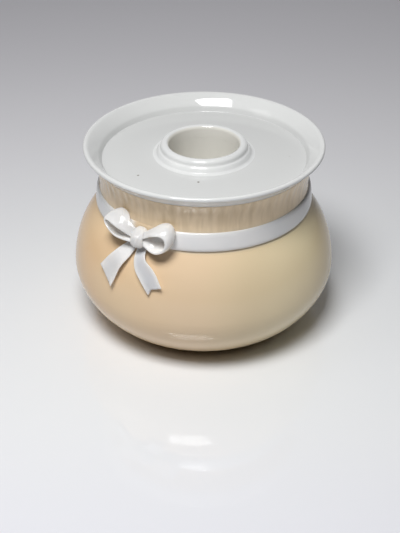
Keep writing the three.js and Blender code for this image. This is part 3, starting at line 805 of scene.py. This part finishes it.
def collar_outline():
    """Foot blended into the dish's floor, a low step, a steep wall and a flat lip rolled into the bore."""
    foot = COLLAR_FOOT_RADIUS
    ease = bezier(
        (foot + COLLAR_FOOT_RUN, dish_floor(foot + COLLAR_FOOT_RUN) + TOUCH),
        (foot + COLLAR_FOOT_TURN, dish_floor(foot) + TOUCH),
        (foot - COLLAR_FOOT_INSET, dish_floor(foot) + COLLAR_FOOT_RISE),
        steps=12,
    )
    step = bezier(ease[-1], *collar_points(COLLAR_STEP), steps=10)
    wall = bezier(step[-1], *collar_points(COLLAR_WALL), steps=8)
    lip = bezier(wall[-1], *collar_points(COLLAR_LIP), steps=18)
    roll_z = COLLAR_CREST_Z - COLLAR_ROLL_DROP
    roll = bezier(lip[-1], (COLLAR_ROLL_RADIUS, COLLAR_CREST_Z), (bore(roll_z), roll_z), steps=12)
    low = COLLAR_SEAT_Z + TOUCH
    under = [
        (bore(low), low),
        (COLLAR_SEAT_RADIUS, low),
        (COLLAR_SKIRT_RADIUS, dish_floor(COLLAR_SKIRT_RADIUS) + TOUCH),
    ]
    return [*under, *ease, *step[1:], *wall[1:], *lip[1:], *roll[1:]]


def cup_outline():
    """A cup with a flat seat, its wall following the bore and closed at the bottom."""
    top = DISH_UNDER_Z + TOUCH
    near_axis = 1.0
    inside = eased(
        [
            (bore(top) + 1, top, 0),
            (bore(top), top, 0),
            (bore(SEAT_Z), SEAT_Z, CUP_SEAT_EASE),
            (near_axis, SEAT_Z, 0),
            (near_axis, SEAT_Z - 1, 0),
        ]
    )[1:-2]
    outside = eased(
        [
            (near_axis, CUP_UNDER_Z, 0),
            (bore(CUP_UNDER_Z) + CUP_WALL, CUP_UNDER_Z, CUP_FOOT_EASE),
            (bore(top) + CUP_WALL, top, CUP_TOP_EASE),
            (bore(top), top, 0),
        ]
    )[:-1]
    return [(0, CUP_UNDER_Z), *outside, *inside, (0, SEAT_Z)]


def lean(z):
    """Radius of the leaning neck that the ribbon lies on."""
    share = (z - SHOULDER_Z) / (WAIST_Z - SHOULDER_Z)
    return SHOULDER_RADIUS + (WAIST_RADIUS - SHOULDER_RADIUS) * share


def ribbon_outline():
    """The ribbon is laid on the neck, with soft edges and a faintly domed face."""
    low, top = RIBBON_LOW_Z, RIBBON_TOP_Z
    face = []
    for share in np.linspace(0, 1, 41):
        z = low + (top - low) * share
        edge = min(share, 1 - share) * (top - low)
        rise = math.sqrt(1 - (1 - min(edge / RIBBON_EASE, 1)) ** 2)
        middle_rise = RIBBON_PROUD - RIBBON_EDGE - RIBBON_CROWN * (2 * share - 1) ** 2
        face.append((lean(z) + RIBBON_EDGE + middle_rise * rise, z))
    return [(lean(low) - RIBBON_SUNK, low), *face, (lean(top) - RIBBON_SUNK, top)]


# Bow: first what it lies on, as a radius at each of these heights

BED_Z = np.linspace(20, 62, 421)


def bed_radii():
    """Radius at each height of what the bow lies on: the pot, or the ribbon and the slip at its edges."""
    wall = np.vstack([shoulder_curve(60), neck_curve(MOUTH_Z, 30)])
    pot_face = np.interp(BED_Z, wall[:, 1], wall[:, 0])
    on_ribbon = np.clip(BED_Z, RIBBON_LOW_Z, RIBBON_TOP_Z)
    ribbon_face = lean(on_ribbon) + RIBBON_PROUD - BED_FALL * np.abs(BED_Z - on_ribbon)
    return np.maximum(pot_face, ribbon_face)


BED_RADIUS = bed_radii()


def bed(z):
    return np.interp(z, BED_Z, BED_RADIUS)


def bow_point(arc, height, proud):
    """A point by its distance round the pot, its height and how proud it stands of the bed."""
    angle = BOW_ANGLE + arc / ARC_RADIUS
    radius = bed(BOW_Z + height) + proud
    return (radius * math.sin(angle), -radius * math.cos(angle), BOW_Z + height)


def bow_point_square(arc, height, proud):
    """The same, proud at right angles to the sloping shoulder."""
    z = BOW_Z + height
    rise = 2 * BED_REACH
    widening = bed(z + BED_REACH) - bed(z - BED_REACH)
    length = math.hypot(widening, rise)
    angle = BOW_ANGLE + arc / ARC_RADIUS
    radius = bed(z) + proud * rise / length
    return (radius * math.sin(angle), -radius * math.cos(angle), z - proud * widening / length)


def tear_point(edge, turn):
    """A point on a loop's teardrop edge, turn from 0 to 1 round it, starting and ending at the knot."""
    taper = edge["taper"]
    peak = 2 * ((taper + 1) / (taper + 2)) ** ((taper + 1) / 2) / math.sqrt(taper + 2)
    angle = 2 * math.pi * turn
    share = (1 - math.cos(angle)) / 2
    tear = math.sin(angle) * max(math.sin(angle / 2), 0) ** taper / peak
    pinch = 0.5 * ROOT_HEIGHT * (1 - share) ** 2 * (1 if turn < 0.5 else -1)
    reach = SLIP / 2 + (edge["reach"] - SLIP / 2) * share
    return np.array([reach, pinch + 0.5 * edge["height"] * tear])


def tear_aside(edge, turn, depth):
    """A point at a depth inside the teardrop, or outside it where the depth is negative."""
    nearby = 1e-3
    level = min(max(turn, nearby), 1 - nearby)
    before, after = tear_point(edge, level - nearby), tear_point(edge, level + nearby)
    along = (after - before) / np.linalg.norm(after - before)
    return tear_point(edge, turn) + depth * np.array([along[1], -along[0]])


def parting_turn(edge):
    """The turn at which the inner faces of a loop's two strips part."""
    turn = 0.01
    while turn < 0.45 and tear_aside(edge, turn, STRIP)[1] < SLIP / 2:
        turn += 0.002
    return turn


def bow_loop(name, loop):
    """A strip that leaves the knot, turns round and comes back, open to the front like cloth."""
    partings = {}

    def place(across, along, depth):
        share = (across + 1) / 2
        edge = {key: (1 - share) * loop["base"][key] + share * loop["brim"][key] for key in loop["base"]}
        if share not in partings:
            partings[share] = parting_turn(edge)
        start = partings[share]
        bulge = LOOP_BULGE * (1 - across**2) * math.sin(math.pi * along)
        outer = tear_aside(edge, along, -bulge)
        inner = tear_aside(edge, start + (1 - 2 * start) * along, STRIP - bulge)
        x, y = outer + (inner - outer) * (0.5 - 0.5 * depth)
        part = x / edge["reach"]
        near = 1 - smooth(x, ROOT_LENGTH, ROOT_FADE * ROOT_LENGTH)
        base = SLIP + (OVER_TAILS - SLIP) * near
        brim = ROOT_PROUD + (LOOP_PROUD - ROOT_PROUD) * smooth(part, *LOOP_SPREAD)
        middle = edge["climb"] * part - edge["drop"] * (1 - part)
        return bow_point(loop["side"] * x, y + middle, base + (brim - base) * share)

    return strip(name, place, LOOP_HALF_WIDTH, steps=132, columns=9)


def bow_knot(name):
    """A soft pad of clay bent over the roots of the loops, creased where it was pressed home. Its arch
    runs from the top, over the front and down, through points of (height, distance from the bed)."""
    front = ROOT_PROUD + SLIP + STRIP / 2
    steps = 49
    arch = catmull(
        [
            (KNOT_HIGH + STRIP / 2, 0.2),
            (KNOT_HIGH + STRIP / 2, 1.9),
            (KNOT_HIGH_FRONT + 0.25 * STRIP, front - 0.15),
            (0.5 * KNOT_HIGH_FRONT, front + 0.7 * KNOT_CROWN),
            (-0.2 * KNOT_LOW_FRONT, front + KNOT_CROWN),
            (-0.62 * KNOT_LOW_FRONT, front + 0.75 * KNOT_CROWN),
            (-KNOT_LOW_FRONT, front - 0.35),
            (-KNOT_LOW_FRONT - 0.3 * STRIP, front - 1.0),
            (-0.5 * (KNOT_LOW_FRONT + KNOT_LOW) - STRIP / 2, 2.0),
        ],
        steps,
    )
    along_arch = np.gradient(arch, axis=0)
    square = np.stack([along_arch[:, 1], -along_arch[:, 0]], 1)
    square /= np.linalg.norm(square, axis=1)[:, None]
    tallest = KNOT_HIGH + KNOT_LOW_FRONT

    def crease_depth(across, level):
        total = 0.0
        for crease in KNOT_CREASES:
            off = across - crease["slant"] * level - crease["shift"]
            total += crease["depth"] * math.exp(-((off / crease["width"]) ** 2))
        return total

    def place(across, along, depth):
        k = round(along * (steps - 1))
        height, proud = arch[k]
        level = (height + KNOT_LOW_FRONT) / tallest
        crown = max(1 - (2 * level - 1) ** 2, 0)
        swell = (KNOT_SWELL * (1 - across**2) - crease_depth(across, level)) * crown
        out = depth * STRIP / 2 + (swell if depth > 0 else -KNOT_BACK) - KNOT_SHOULDER * abs(across) ** 3
        height += square[k][0] * out
        proud += square[k][1] * out
        width = 0.5 * KNOT_WIDTH * (1 - KNOT_WAIST * crown)
        return bow_point(KNOT_SHIFT + across * width, height, max(proud, BOW_CLEARANCE))

    return strip(name, place, KNOT_WIDTH / 2, steps, columns=21)


def bow_tail(name, tail):
    """A flat strip from under the knot, arching off the pot and rippling like cut ribbon."""
    steps = 61
    path = catmull(tail["path"], steps)
    ahead = np.gradient(path, axis=0)

    def stand_off(across, free):
        """How proud the middle of the strip is, with free the share of its loose part that is passed."""
        arch = TAIL_LIFT * math.sin(math.pi * free) ** 2
        cup = tail["cup"] * abs(across) ** 3 * math.sqrt(free)
        wave = math.sin(2 * math.pi * TAIL_WAVES * free + TAIL_TWIST * across)
        ripple = tail["ripple"] * wave * free * (1 - 0.5 * free)
        leave = tail["kick"] * free**3 - tail["tilt"] * across * free
        return max(SLIP + STRIP / 2 + arch + cup + ripple + leave, STRIP / 2 + BOW_CLEARANCE)

    def cut_back(across, along):
        """How far the cut end is drawn back by its slant and its notch."""
        notch_place = tail["notch_place"]
        aside = across - notch_place
        deep = 1 - abs(aside) / (1 - notch_place * math.copysign(1, aside))
        return (tail["notch"] * deep + tail["slant"] * across) * along**CUT_SHARPNESS

    def place(across, along, depth):
        k = round(along * (steps - 1))
        arc, height, width = path[k]
        run = ahead[k][:2] / np.linalg.norm(ahead[k][:2])
        free = min(max((along - TAIL_FLAT) / (1 - TAIL_FLAT), 0), 1)
        end = min((1 - along) * CUT_ROUND, 1)
        thin = math.sqrt(1 - (1 - end) ** 2) * (1 - CUT_THIN) + CUT_THIN
        back = cut_back(across, along)
        side = 0.5 * across * width
        arc += side * run[1] - back * run[0]
        height -= side * run[0] + back * run[1]
        return bow_point_square(arc, height, stand_off(across, free) + depth * thin * STRIP / 2)

    return strip(name, place, TAIL_HALF_WIDTH, steps, columns=13)


# Make the pieces and dress the solids

dish_white = white_glaze("dish_glaze", "dcdddc", "cecfce", 0.07, DISH_SPECKS, DISH_POOL_Z)
collar_white = white_glaze("collar_glaze", "dedfde", "d9dada", 0.08)
cup_white = white_glaze("cup_glaze", "dfddd6", "dbd9d2", 0.12)
ribbon_white = white_glaze("ribbon_glaze", "ecebea", "e2e3e4", 0.12, shade_spot=RIBBON_KNOT_SHADE)
bow_white = white_glaze("bow_glaze", "dddcda", "d8d7d6", 0.11, glow=GLOW)
# painted light and shade: the left tail's glaze is lighter and the right tail's darker, lit and shaded
# copies of the bow's glaze
left_tail_lit_white = white_glaze("left_tail_painted_light_glaze", "eae8e6", "e2e1e0", 0.11, glow=GLOW)
right_tail_shaded_white = white_glaze("right_tail_painted_shade_glaze", "d4d5d7", "cccdd0", 0.11, glow=GLOW)

pot = turned("pot", pot_outline(), 6 * GATHER_COUNT)
gather(pot, *gather_tree(cream_glaze()))

dressed = [
    (pot, None, "cream_glaze", "pot_body"),
    (turned("dish", dish_outline(), 256), dish_white, "white_glaze", "drip_dish"),
    (turned("collar", collar_outline(), 160), collar_white, "white_glaze", "candle_collar"),
    (turned("cup", cup_outline(), 128), cup_white, "cup_glaze", "candle_cup"),
    (turned("ribbon", ribbon_outline(), 256), ribbon_white, "ribbon_glaze", "ribbon_band"),
    (bow_knot("knot"), bow_white, "ribbon_glaze", "bow_knot"),
    (bow_loop("loop_left", LEFT_LOOP), bow_white, "ribbon_glaze", "bow_loop_left"),
    (bow_loop("loop_right", RIGHT_LOOP), bow_white, "ribbon_glaze", "bow_loop_right"),
    (bow_tail("tail_left", LEFT_TAIL), left_tail_lit_white, "ribbon_glaze", "bow_tail_left"),
    (bow_tail("tail_right", RIGHT_TAIL), right_tail_shaded_white, "ribbon_glaze", "bow_tail_right"),
]
for made, finish, slot, node in dressed:
    if finish:
        made.data.materials.append(finish)
    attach(made, "root")
    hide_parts(node)


# Floor, light and camera

FLOOR_REACH = 3.0  # metres
# painted light: the floor is a little less red near the pot, offsetting the cream light the pot throws on
# it
FLOOR_NEAR = "eef0f2"
FLOOR_AROUND = "f0f0f3"
FLOOR_AROUND_RADII = (50, 170)
FLOOR_FRONT = "e9eaf0"
FLOOR_FRONT_Y = (-60, -130)
# painted light falloff: the floor darkens towards the back
FLOOR_BACK = "e6e4eb"
FLOOR_BACK_Y = (20, 400)
# painted shadow: dark and brown on the floor under the pot's belly
FLOOR_CONTACT_SHADOW = "8f7955"
FLOOR_CONTACT_SHADOW_RADII = (37, 29)
FLOOR_ROUGHNESS = 0.01
FLOOR_IOR = 1.7

LAMP_AIM = Vector((0, 0, 40)) * MM
SOFTBOX = {"towards": (-0.14, -0.44, 0.89), "away": 0.5, "size": (0.215, 0.16), "power": 2.55}
SIDE_LAMP = {"towards": (-0.75, -0.2, 0.63), "away": 0.9, "size": (0.3, 0.3), "power": 0.36}
ROOM_GLOW = (0.018, 0.5)  # strength at the front and sides, and straight behind
ROOM_COLOUR = (1.0, 1.0, 1.02, 1)

CAMERA_PLACE = Vector((-1.373, -306.422, 217.452)) * MM
CAMERA_AIM = Vector((-1.373, 0, 15.342)) * MM
SENSOR_WIDTH = 36.0
FOCAL_PIXELS = 1000
PICTURE_HEIGHT = 533  # pixels, the longer side of the picture


def floor_sheet():
    """Glossy pale sheet whose tone is partly painted light: a little less red near the pot against the
    cream light it throws, a little darker towards the front, darker towards the back as painted light
    falloff, and a painted shadow, dark and brown, under the pot.
    """
    material, tree, place = material_nodes("studio_sheet")
    across_floor = add(tree, "ShaderNodeSeparateXYZ", {0: place}).outputs["Y"]
    away = vectors(tree, "LENGTH", place, output="Value")
    colour = rgb(FLOOR_NEAR)
    for value, (low, high), tone in (
        (away, FLOOR_AROUND_RADII, FLOOR_AROUND),
        (across_floor, FLOOR_FRONT_Y, FLOOR_FRONT),
        (across_floor, FLOOR_BACK_Y, FLOOR_BACK),
        (away, FLOOR_CONTACT_SHADOW_RADII, FLOOR_CONTACT_SHADOW),
    ):
        colour = mix(tree, map_range(tree, value, low * MM, high * MM), colour, rgb(tone))
    shader = add(tree, "ShaderNodeBsdfPrincipled", {"Base Color": colour})
    shader.inputs["Roughness"].default_value = FLOOR_ROUGHNESS
    shader.inputs["IOR"].default_value = FLOOR_IOR
    out = add(tree, "ShaderNodeOutputMaterial")
    tree.links.new(shader.outputs[0], out.inputs[0])
    return material


def floor():
    mesh = bpy.data.meshes.new("studio_floor")
    corners = [(-1, -1), (1, -1), (1, 1), (-1, 1)]
    points = [(FLOOR_REACH * x, FLOOR_REACH * y, 0) for x, y in corners]
    mesh.from_pydata(points, [], [(0, 1, 2, 3)])
    mesh.materials.append(floor_sheet())
    studio_floor = bpy.data.objects.new("studio_floor", mesh)
    bpy.context.scene.collection.objects.link(studio_floor)


def area_light(name, lamp):
    """A soft rectangular lamp, away in metres from the aim and turned towards it."""
    data = bpy.data.lights.new(name, "AREA")
    data.shape = "RECTANGLE"
    data.size, data.size_y = lamp["size"]
    data.energy = lamp["power"]
    made = bpy.data.objects.new(name, data)
    made.location = LAMP_AIM + Vector(lamp["towards"]).normalized() * lamp["away"]
    made.rotation_euler = (LAMP_AIM - made.location).to_track_quat("-Z", "Y").to_euler()
    bpy.context.scene.collection.objects.link(made)


def room():
    """A dim room that is brighter behind the object than in front of it."""
    world = bpy.data.worlds.new("studio")
    bpy.context.scene.world = world
    world.use_nodes = True
    sky = world.node_tree
    sky.nodes.clear()
    direction = add(sky, "ShaderNodeTexCoord").outputs["Generated"]
    behind = add(sky, "ShaderNodeSeparateXYZ", {0: direction}).outputs["Y"]
    behind = map_range(sky, behind, 0.0, 1.0, 0.0, 1.0, "LINEAR")
    behind = maths(sky, "MULTIPLY", behind, behind)
    strength = map_range(sky, behind, 0.0, 1.0, *ROOM_GLOW, "LINEAR")
    glow = add(sky, "ShaderNodeBackground", {"Color": ROOM_COLOUR, "Strength": strength})
    out = add(sky, "ShaderNodeOutputWorld")
    sky.links.new(glow.outputs[0], out.inputs[0])


def camera():
    data = bpy.data.cameras.new("camera")
    data.sensor_width = SENSOR_WIDTH
    data.lens = SENSOR_WIDTH * FOCAL_PIXELS / PICTURE_HEIGHT
    data.clip_start = 0.01
    data.clip_end = 20
    made = bpy.data.objects.new("camera", data)
    made.location = CAMERA_PLACE
    made.rotation_euler = (CAMERA_AIM - CAMERA_PLACE).to_track_quat("-Z", "Y").to_euler()
    bpy.context.scene.collection.objects.link(made)
    bpy.context.scene.camera = made


floor()
area_light("softbox", SOFTBOX)
area_light("side_lamp", SIDE_LAMP)
room()
camera()
bpy.context.scene.view_settings.view_transform = "Standard"
